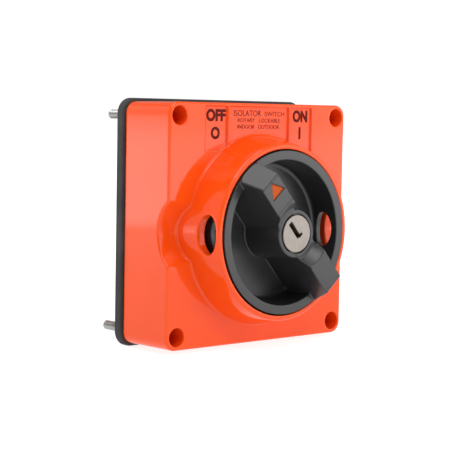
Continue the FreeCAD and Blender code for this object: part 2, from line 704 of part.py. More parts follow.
def make_lock():
    """Plug with its key slot, wafers, tailpiece, barrel and the bolt it drives."""
    head = disc("plug_head", "plug_radius", "plug_shoulder", "plug_front")
    soft_head = rounded("plug_face", head, 0.35, at_depth(size("plug_front")), "Part::Chamfer")
    core = disc("plug_core", "plug_core_radius", "plug_back", "plug_shoulder + 0.5")
    cuts = [
        key_way("key_slot", -1.9, 5.0, "1.1", "41", "plug_front + 1"),
        key_way("key_slot_mouth", -1.9, 6.1, "1.1", "53", "plug_front + 1"),
        block("key_ward", "-2.5", "-1.2", "52.6", "plug_front + 1", "axis_height - 2.3", "axis_height"),
    ]
    cuts += [centred("wafer_slot_%d" % d, "5.56", "2.06", str(d - 0.5), str(d + 0.5)) for d in WAFER_DEPTHS]
    cutter = turned("plug_cuts", [fuse("plug_cuts_flat", cuts)], "-handle_angle")
    subpart(cut("plug", fuse("plug_blank", [soft_head, core]), [cutter]), "lock_plug")
    wafers = []
    for d in WAFER_DEPTHS:
        leaf = centred("wafer_leaf_%d" % d, "5.5", "2", str(d - 0.45), str(d + 0.45))
        window = key_way("wafer_window_%d" % d, -1.7, 4.7, "1.05", str(d - 2), str(d + 2))
        wafers.append(cut("wafer_%d" % d, leaf, [window]))
    subpart(turned("wafers", wafers, "-handle_angle"), "lock_wafers")
    shell = disc("shell_blank", "shell_radius", "plug_back", "lip_depth - 0.1")
    bores = [
        disc("shell_bore", "plug_core_radius + 0.06", "plug_back - 1", "lip_depth + 1"),
        disc("shell_mouth", "plug_radius + 0.08", "plug_shoulder - 0.1", "lip_depth + 1"),
    ]
    subpart(cut("shell", shell, bores), "lock_shell")
    crank_x = "crank_offset * cos(45)"
    crank_z = "axis_height + crank_offset * sin(45)"
    tail = [
        disc("tail_rod", "tail_radius", "bolt_front + 2", "plug_back"),
        disc("tail_disc", "tail_disc_radius", "bolt_front + 0.4", "bolt_front + 2"),
        disc("crank", "crank_radius", "bolt_back + 0.5", "bolt_front + 0.5", crank_x, crank_z),
    ]
    subpart(fuse("tail", tail), "lock_tailpiece")
    half, low = "bolt_half", "axis_height - bolt_reach"
    bolt = block("bolt_blank", "-" + half, half, "bolt_back", "bolt_front", low, "axis_height + 4.3")
    low_edge = crank_z + " - crank_radius - bolt_gap"
    slot = ("bolt_back - 1", "bolt_front + 1", low_edge, crank_z + " + crank_radius + bolt_gap")
    window = block("bolt_slot", "0.2", "crank_offset + crank_radius + 0.2", *slot)
    subpart(cut("bolt", bolt, [window]), "lock_bolt")


# ------------------------------------------------------------------------------------- the mechanism

def case_plate(name, back, front, extra):
    """One slice of the mechanism's case, with the shaft's hole, the screw holes and extra cuts."""
    blank = plate(name, "case_half_wide", "case_half_high", back, front, z="axis_height")
    span = ("(%s) - 1" % back, "(%s) + 1" % front)
    tools = [disc(name + "_shaft_hole", "5.4", *span)]
    spots = ("pillar_wide", "pillar_high", "axis_height")
    tools += at_corners(name + "_screw", "case_screw_radius + 0.1", *span, *spots)
    return cut(name + "_case", blank, tools + extra)


def make_detent():
    """Snap mechanism: a notched cam between two leaf springs, in its own housing."""
    chamber = centred("latch_room", "14", "13", "latch_back + 1.5", "latch_front")
    ribs = [
        centred("latch_rib_%d" % i, "1.2", "1", "latch_back", "latch_front + 1", signed(sx, "12.9"),
                "axis_height + %s" % signed(sz, "10"))
        for i, (sx, sz) in enumerate(CORNERS)
    ]
    back, front = "latch_back", "latch_front - latch_plate"
    subpart(case_plate("latch", back, front, [cut("latch_chamber", chamber, ribs)]), "latch_housing")
    subpart(case_plate("lid", front, "latch_front", []), "latch_cover")
    cam_span = ("latch_back + 2.1", "latch_front - latch_plate - 0.6")
    cam = disc("cam_blank", "10", *cam_span)
    notches = [disc("cam_notch_%d" % side, "1.5", "0", "latch_front", str(10.75 * side)) for side in (-1, 1)]
    later = [disc("cam_later_%d" % side, "1.5", "0", "latch_front", str(10.75 * side)) for side in (-1, 1)]
    tools = notches + [turned("cam_later_notches", later, "-travel_angle"), square_hole("cam_square")]
    subpart(cut("cam", cam, tools), "detent_cam")
    springs = []
    spring_span = ("latch_back + 2.4", "latch_front - 2.2")
    for side in (-1, 1):
        strip = centred("strip_%d" % side, "0.3", "10.6", *spring_span, str(11.35 * side))
        nose = disc("nose_%d" % side, "1.1", *spring_span, str(10.75 * side))
        springs.append(fuse("spring_%d" % side, [strip, nose]))
    subpart(group("springs", springs), "detent_springs")


def square_hole(name):
    """Through hole that fits the square spindle."""
    half = "square_half + square_gap"
    return centred(name, half, half, "cap_back", "latch_front + 5")


def terminal_points(level):
    """Centres of the two terminals of one pole: pole 0 above the axis, pole 1 below it."""
    height = "axis_height + %s" % signed(1 if level == 0 else -1, "cage_height")
    return [(side, signed(side, "cage_offset"), height) for side in (-1, 1)]


def contact_bar(name, side, level, grow="0"):
    """Fixed contact: from the rotor's edge out to its terminal, bent once."""
    middle = "(contact_depth - %d * pole_pitch)" % level
    back = middle + " - contact_thick / 2"
    front = middle + " + contact_thick / 2 + %s" % grow
    up = 1 if level == 0 else -1

    def span(title, x0, x1, z0, z1):
        xs = sorted((side * x0, side * x1))
        zs = sorted((up * z0, up * z1))
        heights = ["axis_height + %s" % z for z in zs]
        return block("%s_%s" % (name, title), str(xs[0]), str(xs[1]), back, front, *heights)

    parts = [
        span("tip", 9.8, 16.2, -2.5, 2.5),
        span("riser", 13.2, 16.2, -2.5, 14.2),
        span("tail", 13.2, 22.0, 9.8, 14.2),
    ]
    return fuse(name, parts)


def make_pole(level, label):
    """Insulating body of one pole, with its contact bars, rotor, blades and blade springs."""
    shift = " - %d * pole_pitch" % level
    front, back = "latch_back" + shift, "latch_back - pole_pitch" + shift
    tag = "pole%d" % level
    cuts = [disc(tag + "_chamber", "chamber_radius", back + " + 1.2", front + " + 1")]
    bars = []
    for side in (-1, 1):
        cuts.append(contact_bar("%s_bar_room_%d" % (tag, side), side, level, "20"))
        bars.append(contact_bar("%s_bar_%d" % (tag, side), side, level))
    for other in range(level + 1):
        rim = "3" if other == level else "20"
        for side, x, z in terminal_points(other):
            title = "%s_well_%d_%d" % (tag, other, side)
            well = ("cage_wide / 2 + 0.1", "cage_high / 2 + 0.1", "cap_back", "contact_depth%s + 2" % shift)
            cuts.append(centred(title, well[0], well[1], well[2], front + " + " + rim, x=x, z=z))
    for side, x, z in terminal_points(level):
        low, high = sorted((side * 22, side * 27))
        depth = "contact_depth%s - 2.95" % shift
        cuts.append(rod_x("%s_wire_%d" % (tag, side), "wire_radius", str(low), str(high), depth, z))
    subpart(case_plate(tag, back, front, cuts), "pole_body_" + label)
    middle = "contact_depth" + shift
    rotor = disc(tag + "_rotor_blank", "rotor_radius", back + " + 1.5", front + " - 0.3")
    room = ("(%s) - 2.3" % middle, "(%s) + 2.3" % middle)
    slots = [
        centred(tag + "_blade_slot", "13", "blade_half + 0.1", *room),
        disc(tag + "_blade_hub_room", "7", *room),
    ]
    at_off = turned(tag + "_rotor_at_off", [cut(tag + "_rotor_slotted", rotor, slots)], "-travel_angle")
    subpart(cut(tag + "_rotor", at_off, [square_hole(tag + "_rotor_square")]), "rotor_" + label)
    near = "(%s) + contact_thick / 2 + 0.1" % middle
    far = "(%s) - contact_thick / 2 - 0.1" % middle
    blades = [
        bridge(tag + "_blade_front", "blade_radius", "blade_half", "6.8", near, near + " + blade_thick"),
        bridge(tag + "_blade_rear", "blade_radius", "blade_half", "6.8", far + " - blade_thick", far),
    ]
    leaf = ("9", "1.5", "6")
    springs = [
        bridge(tag + "_leaf_front", *leaf, near + " + blade_thick + 0.02", near + " + blade_thick + 0.42"),
        bridge(tag + "_leaf_rear", *leaf, far + " - blade_thick - 0.42", far + " - blade_thick - 0.02"),
    ]
    return bars, blades, springs


def bridge(name, reach, half, hub, back, front):
    """Strip with a round middle, turned to its OFF position, and a square hole for the spindle."""
    strip = centred(name + "_strip", reach, half, back, front)
    body = fuse(name + "_body", [strip, disc(name + "_hub", hub, back, front)])
    at_off = turned(name + "_at_off", [body], "-travel_angle")
    return cut(name, at_off, [square_hole(name + "_square")])


def make_poles():
    """Both poles, with their moving and fixed contacts kept as groups."""
    bars, blades, springs = [], [], []
    for level, label in enumerate(("front", "rear")):
        for total, found in zip((bars, blades, springs), make_pole(level, label)):
            total += found
    subpart(group("bars", bars), "fixed_contacts")
    subpart(group("blades", blades), "moving_contacts")
    subpart(group("leaves", springs), "contact_springs")


def make_terminals():
    """Box clamps with their screws, two to a pole."""
    cages, screws = [], []
    for level in (0, 1):
        middle = "(contact_depth - %d * pole_pitch)" % level
        for side, x, z in terminal_points(level):
            tag = "cage_%d_%d" % (level, side)
            back, front = middle + " - 6.8", middle + " + 1.85"
            outer = centred(tag + "_outer", "cage_wide / 2", "cage_high / 2", back, front, x=x, z=z)
            window = centred(tag + "_window", "cage_wide", "cage_high / 2 - 0.8",
                             back + " + 1.6", front + " - 1", x=x, z=z)
            thread = disc(tag + "_thread", "terminal_screw_radius + 0.05", back + " - 1", back + " + 2", x, z)
            cages.append(cut(tag, outer, [window, thread]))
            shank = disc(tag + "_shank", "terminal_screw_radius", back + " - 0.3", back + " + 2.2", x, z)
            head = disc(tag + "_head", "2.7", back + " - 2.1", back + " - 0.3", x, z)
            slot = centred(tag + "_slot", "3", "0.4", back + " - 3", back + " - 1.3", x=x, z=z)
            screws.append(cut(tag + "_screw", fuse(tag + "_screw_blank", [shank, head]), [slot]))
    subpart(group("cages", cages), "terminal_cages")
    subpart(group("clamp_screws", screws), "terminal_screws")


def make_rear_cap():
    """End plate over the rear pole, and the four long screws through the whole mechanism."""
    front = "latch_back - 2 * pole_pitch"
    blank = plate("cap", "case_half_wide", "case_half_high", "cap_back", front, z="axis_height")
    spots = ("pillar_wide", "pillar_high", "axis_height")
    tools = at_corners("cap_screw", "case_screw_radius + 0.1", "cap_back - 1", front + " + 1", *spots)
    tools += at_corners("cap_sink", "case_screw_head + 0.2", "cap_back - 1", "cap_back + 2.1", *spots)
    for level in (0, 1):
        for side, x, z in terminal_points(level):
            title = "cap_access_%d_%d" % (level, side)
            tools.append(disc(title, "3.1", "cap_back - 1", front + " + 1", x, z))
    for side, x, z in terminal_points(1):
        tools.append(centred("cap_well_%d" % side, "cage_wide / 2 + 0.1", "cage_high / 2 + 0.1",
                             "cap_back + 2.1", front + " + 1", x=x, z=z))
    subpart(cut("rear", blank, tools), "rear_cap")
    screws = []
    shanks = at_corners("long_shank", "case_screw_radius", "cap_back + 2.1", "latch_front + 8", *spots)
    heads = at_corners("long_head", "case_screw_head", "cap_back + 0.2", "cap_back + 2.1", *spots)
    slots = at_corners("long_slot", "1.3", "cap_back", "cap_back + 1.3", *spots)
    for i in range(4):
        screws.append(cut("long_screw_%d" % i, fuse("long_blank_%d" % i, [shanks[i], heads[i]]), [slots[i]]))
    subpart(group("long_screws", screws), "mechanism_screws")


# ------------------------------------------------------------------------------------ build and write

for make in (
    make_cover,
    make_gasket,
    make_cover_screws,
    make_marks,
    make_knob,
    make_knob_fittings,
    make_lock,
    make_detent,
    make_poles,
    make_terminals,
    make_rear_cap,
):
    make()
doc.recompute()

faulty = [item.Name for item in doc.Objects if {"Invalid", "Error"} & set(item.State)]
if faulty:
    raise RuntimeError("objects in error: " + ", ".join(faulty))
for item in subparts:
    if item.Shape.isNull() or not item.Shape.isValid() or not item.Shape.Solids:
        raise RuntimeError("bad shape: " + item.Label)

os.makedirs("parts", exist_ok=True)
for item in subparts:
    item.Shape.exportStep("parts/%s.step" % item.Label)
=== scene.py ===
import json
import math

import bpy
import numpy as np
from mathutils import Matrix, Vector


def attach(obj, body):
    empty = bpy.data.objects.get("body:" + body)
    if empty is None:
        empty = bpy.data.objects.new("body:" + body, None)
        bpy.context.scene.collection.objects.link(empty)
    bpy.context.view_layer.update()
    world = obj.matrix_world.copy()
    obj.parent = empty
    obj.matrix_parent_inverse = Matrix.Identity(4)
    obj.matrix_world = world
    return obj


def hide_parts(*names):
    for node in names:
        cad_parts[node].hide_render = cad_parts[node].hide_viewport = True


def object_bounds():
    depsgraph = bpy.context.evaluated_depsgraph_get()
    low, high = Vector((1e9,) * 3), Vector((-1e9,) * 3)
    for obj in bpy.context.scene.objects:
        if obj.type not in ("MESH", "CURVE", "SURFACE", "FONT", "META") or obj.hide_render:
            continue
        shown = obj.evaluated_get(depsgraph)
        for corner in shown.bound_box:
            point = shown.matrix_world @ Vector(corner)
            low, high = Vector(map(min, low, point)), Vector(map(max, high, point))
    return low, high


# The looks of a key-lockable rotary isolator on a square orange cover.
# Shapes are worked out in millimetres as (x, depth, height): depth is the distance in front of the
# rear mounting face, and height is measured from the switch axis unless a function says otherwise.

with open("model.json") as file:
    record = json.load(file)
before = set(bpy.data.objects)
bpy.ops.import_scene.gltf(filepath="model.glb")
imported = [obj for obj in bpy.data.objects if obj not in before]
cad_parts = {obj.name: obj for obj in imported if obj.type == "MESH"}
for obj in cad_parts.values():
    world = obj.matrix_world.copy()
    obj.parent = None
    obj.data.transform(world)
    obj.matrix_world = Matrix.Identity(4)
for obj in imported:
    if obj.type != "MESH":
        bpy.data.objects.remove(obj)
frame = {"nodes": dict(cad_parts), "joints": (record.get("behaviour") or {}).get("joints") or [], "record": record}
cad_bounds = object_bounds()
record = frame["record"]
knob_joint = next(joint for joint in frame["joints"] if joint["name"] == "knob_turn")
AXIS_Z = knob_joint["pos_m"][2] * 1000.0
MM = 0.001
COARSE = 1.0


# ------------------------------------------------------------------------------- distance fields

def length(*parts):
    """Euclidean length of a vector given by its components."""
    return np.sqrt(sum(part * part for part in parts))


def join(a, b, r):
    """Union of two fields, with a concave fillet of radius r."""
    u, v = np.maximum(r - a, 0), np.maximum(r - b, 0)
    return np.maximum(r, np.minimum(a, b)) - length(u, v)


def meet(a, b, r=0.0):
    """Intersection of two fields, with a convex rounding of radius r."""
    if not r:
        return np.maximum(a, b)
    u, v = np.maximum(r + a, 0), np.maximum(r + b, 0)
    return np.minimum(-r, np.maximum(a, b)) + length(u, v)


def carve(a, b, r=0.0):
    """Field a with b removed from it, the new edge rounded by r."""
    return meet(a, -b, r)


def slab(value, low, high):
    """Distance to the layer between two values."""
    return np.maximum(low - value, value - high)


def rectangle(x, z, half_x, half_z, corner=0.0):
    """Distance to a rectangle about the origin, with rounded corners."""
    qx, qz = np.abs(x) - half_x + corner, np.abs(z) - half_z + corner
    outside = length(np.maximum(qx, 0), np.maximum(qz, 0))
    return outside + np.minimum(np.maximum(qx, qz), 0) - corner


def box(x, d, z, x_span, d_span, z_span):
    """Distance bound of a box between two x, two depths and two heights."""
    return meet(meet(slab(x, *x_span), slab(d, *d_span)), slab(z, *z_span))


def tapered(rho, d, radius, depth, slope):
    """Distance to a cone about an axis: its radius at a depth, and its change per unit of depth."""
    return (rho - radius - slope * (d - depth)) / math.hypot(1, slope)


def ellipse(p, q, half_p, half_q):
    """Distance to an ellipse, close to true near its edge."""
    k0 = length(p / half_p, q / half_q)
    k1 = length(p / half_p ** 2, q / half_q ** 2)
    return k0 * (k0 - 1) / np.maximum(k1, 1e-6)


# ------------------------------------------------------------------------------------ mesh makers

def make_object(name, mesh, body, nodes, material):
    """Link a mesh as a piece: what it rides on, the slot it takes, and the CAD nodes it stands for."""
    piece = bpy.data.objects.new(name, mesh)
    bpy.context.scene.collection.objects.link(piece)
    mesh.materials.append(material)
    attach(piece, body)
    if nodes:
        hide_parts(*nodes)
    return piece


def polygon_mesh(name, points, faces, normals):
    """Mesh from arrays of points (x, depth, z in mm), equal-sized faces and normals at the points."""
    mesh = bpy.data.meshes.new(name)
    where = np.stack([points[:, 0], -points[:, 1], points[:, 2]], axis=1) * MM
    sides = faces.shape[1]
    mesh.vertices.add(len(where))
    mesh.vertices.foreach_set("co", where.astype(np.float32).ravel())
    mesh.loops.add(faces.size)
    mesh.loops.foreach_set("vertex_index", faces.astype(np.int32).ravel())
    mesh.polygons.add(len(faces))
    mesh.polygons.foreach_set("loop_start", np.arange(0, faces.size, sides, dtype=np.int32))
    mesh.polygons.foreach_set("use_smooth", np.ones(len(faces), bool))
    mesh.update(calc_edges=True)
    turned = np.stack([normals[:, 0], -normals[:, 1], normals[:, 2]], axis=1)
    mesh.normals_split_custom_set_from_vertices(turned.tolist())
    return mesh


def gradient(field, p, h):
    """Unit gradient of a field at many points, by central differences."""
    columns = []
    for axis in range(3):
        shift = np.zeros(3)
        shift[axis] = h
        ahead, behind = p + shift, p - shift
        columns.append(field(*ahead.T) - field(*behind.T))
    g = np.stack(columns, axis=1)
    return g / np.maximum(np.linalg.norm(g, axis=1, keepdims=True), 1e-9)


GRID_SHIFT = 0.0137
ROOT_STEPS = 5
ROOT_MARGIN = 0.02
NORMAL_STEP = 0.02
CENTRE_WEIGHT = 0.02


def contour(name, field, low, high, step, soft):
    """Mesh of the zero surface of a field, with its edges kept, by dual contouring."""
    # The shift keeps the flat faces, at round sizes, off the planes of the grid.
    low = np.array(low, float) - GRID_SHIFT
    counts = np.ceil((np.array(high, float) - low) / step).astype(int) + 1
    axes = [low[i] + step * np.arange(counts[i]) for i in range(3)]
    grid = np.meshgrid(*axes, indexing="ij", sparse=True)
    values = np.broadcast_to(field(*grid), counts).astype(np.float32)
    inside = values < 0
    cells = counts - 1
    total = int(np.prod(cells))
    normal_sums = np.zeros((6, total))
    right_sums = np.zeros((3, total))
    point_sums = np.zeros((3, total))
    hits = np.zeros(total)
    quads = []
    for axis in range(3):
        first = [slice(None)] * 3
        second = [slice(None)] * 3
        first[axis], second[axis] = slice(0, -1), slice(1, None)
        starts = np.argwhere(inside[tuple(first)] != inside[tuple(second)])
        unit = np.eye(3, dtype=int)[axis]
        v0 = values[tuple(starts.T)].astype(float)
        v1 = values[tuple((starts + unit).T)].astype(float)
        t0, t1 = np.zeros(len(starts)), np.ones(len(starts))
        origin = low + step * starts
        f0, f1 = v0.copy(), v1.copy()
        for _ in range(ROOT_STEPS):
            margin = ROOT_MARGIN * (t1 - t0)
            t = np.clip(t0 + (t1 - t0) * f0 / (f0 - f1), t0 + margin, t1 - margin)
            value = field(*(origin + step * t[:, None] * unit).T)
            same = np.sign(value) == np.sign(f0)
            t0, f0 = np.where(same, t, t0), np.where(same, value, f0)
            t1, f1 = np.where(same, t1, t), np.where(same, f1, value)
        t = t0 + (t1 - t0) * f0 / (f0 - f1)
        p = origin + step * t[:, None] * unit
        n = gradient(field, p, NORMAL_STEP)
        along = np.sum(n * p, axis=1)
        u, v = (axis + 1) % 3, (axis + 2) % 3
        corners = []
        for du, dv in ((-1, -1), (0, -1), (0, 0), (-1, 0)):
            cell = starts.copy()
            cell[:, u] += du
            cell[:, v] += dv
            ids = np.ravel_multi_index(tuple(cell.T), tuple(cells), mode="clip")
            corners.append(ids)
            for k, (i, j) in enumerate(((0, 0), (0, 1), (0, 2), (1, 1), (1, 2), (2, 2))):
                normal_sums[k] += np.bincount(ids, n[:, i] * n[:, j], total)
            for i in range(3):
                right_sums[i] += np.bincount(ids, n[:, i] * along, total)
                point_sums[i] += np.bincount(ids, p[:, i], total)
            hits += np.bincount(ids, minlength=total)
        quad = np.stack(corners, axis=1)
        quads.append(np.where((v0 >= 0)[:, None], quad, quad[:, ::-1]))
    used = np.flatnonzero(hits)
    a = normal_sums[:, used]
    matrix = np.stack([a[0], a[1], a[2], a[1], a[3], a[4], a[2], a[4], a[5]], axis=1).reshape(-1, 3, 3)
    middle = (point_sums[:, used] / hits[used]).T
    weight = CENTRE_WEIGHT * hits[used]
    matrix += np.eye(3) * weight[:, None, None]
    right = right_sums[:, used].T + middle * weight[:, None]
    points = np.linalg.solve(matrix, right[:, :, None])[:, :, 0]
    corner = low + step * np.stack(np.unravel_index(used, tuple(cells)), axis=1)
    points = np.clip(points, corner, corner + step)
    index = np.full(total, -1)
    index[used] = np.arange(len(used))
    faces = index[np.concatenate(quads)]
    normals = gradient(field, points, soft)
    lifted = points + np.array([0.0, 0.0, AXIS_Z])
    return polygon_mesh(name, lifted, faces, normals)


# ------------------------------------------------------------------------------- the orange cover

COVER_HALF = 50.5
COVER_CORNER = 5.0
COVER_EDGE = 1.1
COVER_WALL = 3.0
COVER_BACK = 3.5
SEAM_SINK = 1.5
SEAM_FRONT = 4.5
FACE = 32.4
PITCH = 45.0
CORNERS = [(-1, -1), (1, -1), (1, 1), (-1, 1)]
PAST = 5.0

POCKETS = ((-31.3, -19.0), (-18.4, 16.1), (16.8, 29.8))
POCKET_SPAN = (30.0, 49.1)
POCKET_SINK = 0.8

PADLOCK_DEPTH = 41.5
PADLOCK_HALF = (4.6, 8.1)
PADLOCK_START = 30.0
HOLLOW_START = 38.0
HOLLOW_RADIUS = 14.5
HOLLOW_FLARE_LEFT = 0.102
HOLLOW_FLARE_RIGHT = -0.05

COLLAR_FOOT = 40.1
COLLAR_ROOT = 24.0
COLLAR_FRONT = 47.8
COLLAR_BORE = 34.7
COLLAR_FILLET = 0.8
DRAFT = 0.219

CAVITY_FRONT = 29.4
RIB_FILLET = 0.8
PILLAR_PLACE = (20.5, 19.2)
PILLAR_RADIUS = 3.3
PILLAR_BACK = 12.0
PILLAR_BORE = 1.55
PILLAR_BORE_FRONT = 21.5
POST_RADIUS = 6.0
HOLLOW_WALL = 18.4

BOSS_RADIUS = 18.5
BOSS_BACK = 21.0
BOSS_BORE = 14.0
BEARING_RADIUS = 15.6
BEARING_BACK = 27.6
NOTCH_HALF = 4.3
NOTCH_SPAN = (22.0, 26.6)
NOTCH_REACH = (-17.3, -10.0)
TRAVEL = math.radians(knob_joint["range_deg"][1])

WELL_RADIUS = 3.9
WELL_FLOOR = 10.0
SCREW_HOLE = 2.3
WASHER_ROOM = 3.7
WASHER_ROOM_FRONT = 5.3


def cover_outside(x, d, h, z):
    """Block with its seam, label pockets and padlock hollows, and the bored collar on it."""
    rho, side = length(x, h), np.abs(x)
    block = meet(rectangle(x, z, COVER_HALF, COVER_HALF, COVER_CORNER), d - FACE, COVER_EDGE)
    seam_half, seam_corner = COVER_HALF - SEAM_SINK, COVER_CORNER - SEAM_SINK
    seam = rectangle(x, z, seam_half, seam_half, seam_corner)
    block = carve(block, np.maximum(-seam, d - SEAM_FRONT), 0.2)
    block = np.maximum(block, COVER_BACK - d)
    for x_span in POCKETS:
        pocket = box(x, d, z, x_span, (FACE - POCKET_SINK, FACE + PAST), POCKET_SPAN)
        block = carve(block, pocket, 0.15)
    flare = np.where(x < 0, HOLLOW_FLARE_LEFT, HOLLOW_FLARE_RIGHT)
    hollow_radius = HOLLOW_RADIUS + (side - HOLLOW_START) * flare
    hollow = np.maximum(length(d - PADLOCK_DEPTH, h) - hollow_radius, HOLLOW_START - side)
    block = carve(block, hollow, 0.8)
    collar = tapered(rho, d, COLLAR_FOOT, FACE, -DRAFT)
    collar = np.maximum(meet(collar, d - COLLAR_FRONT, 0.9), COLLAR_ROOT - d)
    solid = join(block, collar, COLLAR_FILLET)
    solid = carve(solid, np.maximum(rho - COLLAR_BORE, FACE - d), 0.5)
    port = ellipse(d - PADLOCK_DEPTH, h, *PADLOCK_HALF)
    return carve(solid, np.maximum(port, PADLOCK_START - side), 0.55)


def cover_inside(x, d, h, z):
    """What stands in the cover's cavity: pillars, boss, screw posts and the hollows' walls."""
    rho, side = length(x, h), np.abs(x)
    pillar = length(side - PILLAR_PLACE[0], np.abs(h) - PILLAR_PLACE[1]) - PILLAR_RADIUS
    pillar = np.maximum(pillar, PILLAR_BACK - d)
    boss = np.maximum(rho - BOSS_RADIUS, BOSS_BACK - d)
    post = length(side - PITCH, np.abs(z) - PITCH) - POST_RADIUS
    wall = np.maximum(length(d - PADLOCK_DEPTH, h) - HOLLOW_WALL, HOLLOW_START - side)
    return join(join(join(pillar, boss, RIB_FILLET), post, RIB_FILLET), wall, RIB_FILLET)


def cover_field(x, d, h):
    """The cover with its collar; h is the height above the switch axis."""
    z = h + AXIS_Z
    rho, side = length(x, h), np.abs(x)
    solid = cover_outside(x, d, h, z)
    inside = cover_inside(x, d, h, z)
    cavity_half, cavity_corner = COVER_HALF - COVER_WALL, 2.5
    cavity = meet(rectangle(x, z, cavity_half, cavity_half, cavity_corner), d - CAVITY_FRONT, 1.0)
    hollowed = carve(solid, carve(cavity, inside, RIB_FILLET))
    solid = np.minimum(hollowed, np.maximum(solid, inside))
    pillar_axis = length(side - PILLAR_PLACE[0], np.abs(h) - PILLAR_PLACE[1])
    solid = carve(solid, np.maximum(pillar_axis - PILLAR_BORE, d - PILLAR_BORE_FRONT))
    solid = carve(solid, np.maximum(rho - BEARING_RADIUS, BEARING_BACK - d))
    solid = carve(solid, rho - BOSS_BORE)
    c, s = math.cos(TRAVEL), math.sin(TRAVEL)
    for across, along in ((x, h), (x * c - h * s, x * s + h * c)):
        notch = np.maximum(np.abs(across) - NOTCH_HALF, slab(d, *NOTCH_SPAN))
        solid = carve(solid, np.maximum(notch, slab(along, *NOTCH_REACH)))
    post_axis = length(side - PITCH, np.abs(z) - PITCH)
    solid = carve(solid, np.maximum(post_axis - WELL_RADIUS, WELL_FLOOR - d), 0.35)
    solid = carve(solid, post_axis - SCREW_HOLE)
    return carve(solid, np.maximum(post_axis - WASHER_ROOM, d - WASHER_ROOM_FRONT))


# ------------------------------------------------------------------------------------- the knob

HANDLE_ANGLE = math.radians(131.0)
HANDLE_FRONT = 58.5
HANDLE_HALF = 5.25
HANDLE_DRAFT = 0.0723
HANDLE_END_SLOPE = 0.5
HANDLE_EDGE = 0.45
REACH = 29.0
PANEL_START = 15.3
PANEL_RIDGE = 0.7
PANEL_SINK = 0.35
POINTER_SINK = 1.35
POINTER_TIP = (27.8, 0.3)
POINTER_FOOT = ((21.5, 4.7), (21.4, -3.6))

KNOB_RADIUS = 34.1
KNOB_SPAN = (33.0, 48.3)
KNOB_BASE = 34.5
KNOB_WALL_RADIUS = 31.7
KNOB_WALL_SPAN = (32.0, 46.2)
DISH_FLOOR = 35.5
DISH_RADIUS = 29.0
DISH_SLOPE = 0.1016
KNOB_PORT_DEPTH = 41.3
KNOB_PORT_HALF = (4.1, 7.5)
KNOB_PORT_START = 28.0

HUB_FOOT = 11.3
HUB_SLOPE = -0.0737
HUB_FRONT = 54.5
HUB_ROOM = 10.85
HUB_ROOM_SLOPE = 0.9375
SLEEVE_RADIUS = 13.8
SLEEVE_SPAN = (18.0, 34.0)
KNOB_BORE = 9.0
LIP_DEPTH = 52.4
LIP_RADIUS = 8.35
CHANNEL_HALF = 4.1
CHANNEL_SPAN = (22.3, 26.3)
CHANNEL_REACH = (-15.0, 4.6)

PLUG_RADIUS = 7.76
PLUG_FRONT = 55.0
PLUG_SHOULDER = 51.6
PLUG_CORE_RADIUS = 6.0
PLUG_CORE_SPAN = (40.0, 52.0)
PLUG_DISH_RADIUS = 40.1
PLUG_DISH_CENTRE = 95.0
KEY_DEPTH = 46.0
WARD_DEPTH = 50.0


def handle_axes(x, h):
    """Coordinates along the handle and to its right, at OFF."""
    c, s = math.cos(HANDLE_ANGLE), math.sin(HANDLE_ANGLE)
    return x * c + h * s, x * s - h * c


def triangle(along, across, shrink=0.0):
    """Distance to the pointer's triangle, whose tip points towards ON."""
    points = (POINTER_TIP, *POINTER_FOOT)
    sides = []
    for i, (a0, c0) in enumerate(points):
        a1, c1 = points[(i + 1) % 3]
        size = math.hypot(a1 - a0, c1 - c0)
        sides.append(((c1 - c0) * (along - a0) - (a1 - a0) * (across - c0)) / size)
    return np.maximum(np.maximum(sides[0], sides[1]), sides[2]) + shrink


def handle_field(d, rho, along, across):
    """The bar across the knob: sloped sides and ends, a panel in each arm, and room for the hub."""
    reach = np.abs(along)
    rise = HANDLE_FRONT - d
    width = (np.abs(across) - HANDLE_HALF - HANDLE_DRAFT * rise) / math.hypot(1, HANDLE_DRAFT)
    end = (reach - REACH - HANDLE_END_SLOPE * rise) / math.hypot(1, HANDLE_END_SLOPE)
    bar = meet(meet(width, -rise, HANDLE_EDGE), end, HANDLE_EDGE)
    bar = np.maximum(np.maximum(bar, rho - KNOB_RADIUS), KNOB_BASE - d)
    panel = np.maximum(slab(reach, PANEL_START, REACH - PANEL_RIDGE), HANDLE_FRONT - PANEL_SINK - d)
    bar = carve(bar, panel, 0.1)
    room = tapered(rho, d, HUB_ROOM, HUB_FRONT, HUB_ROOM_SLOPE)
    return carve(bar, np.maximum(room, HUB_FRONT - d), 0.25)


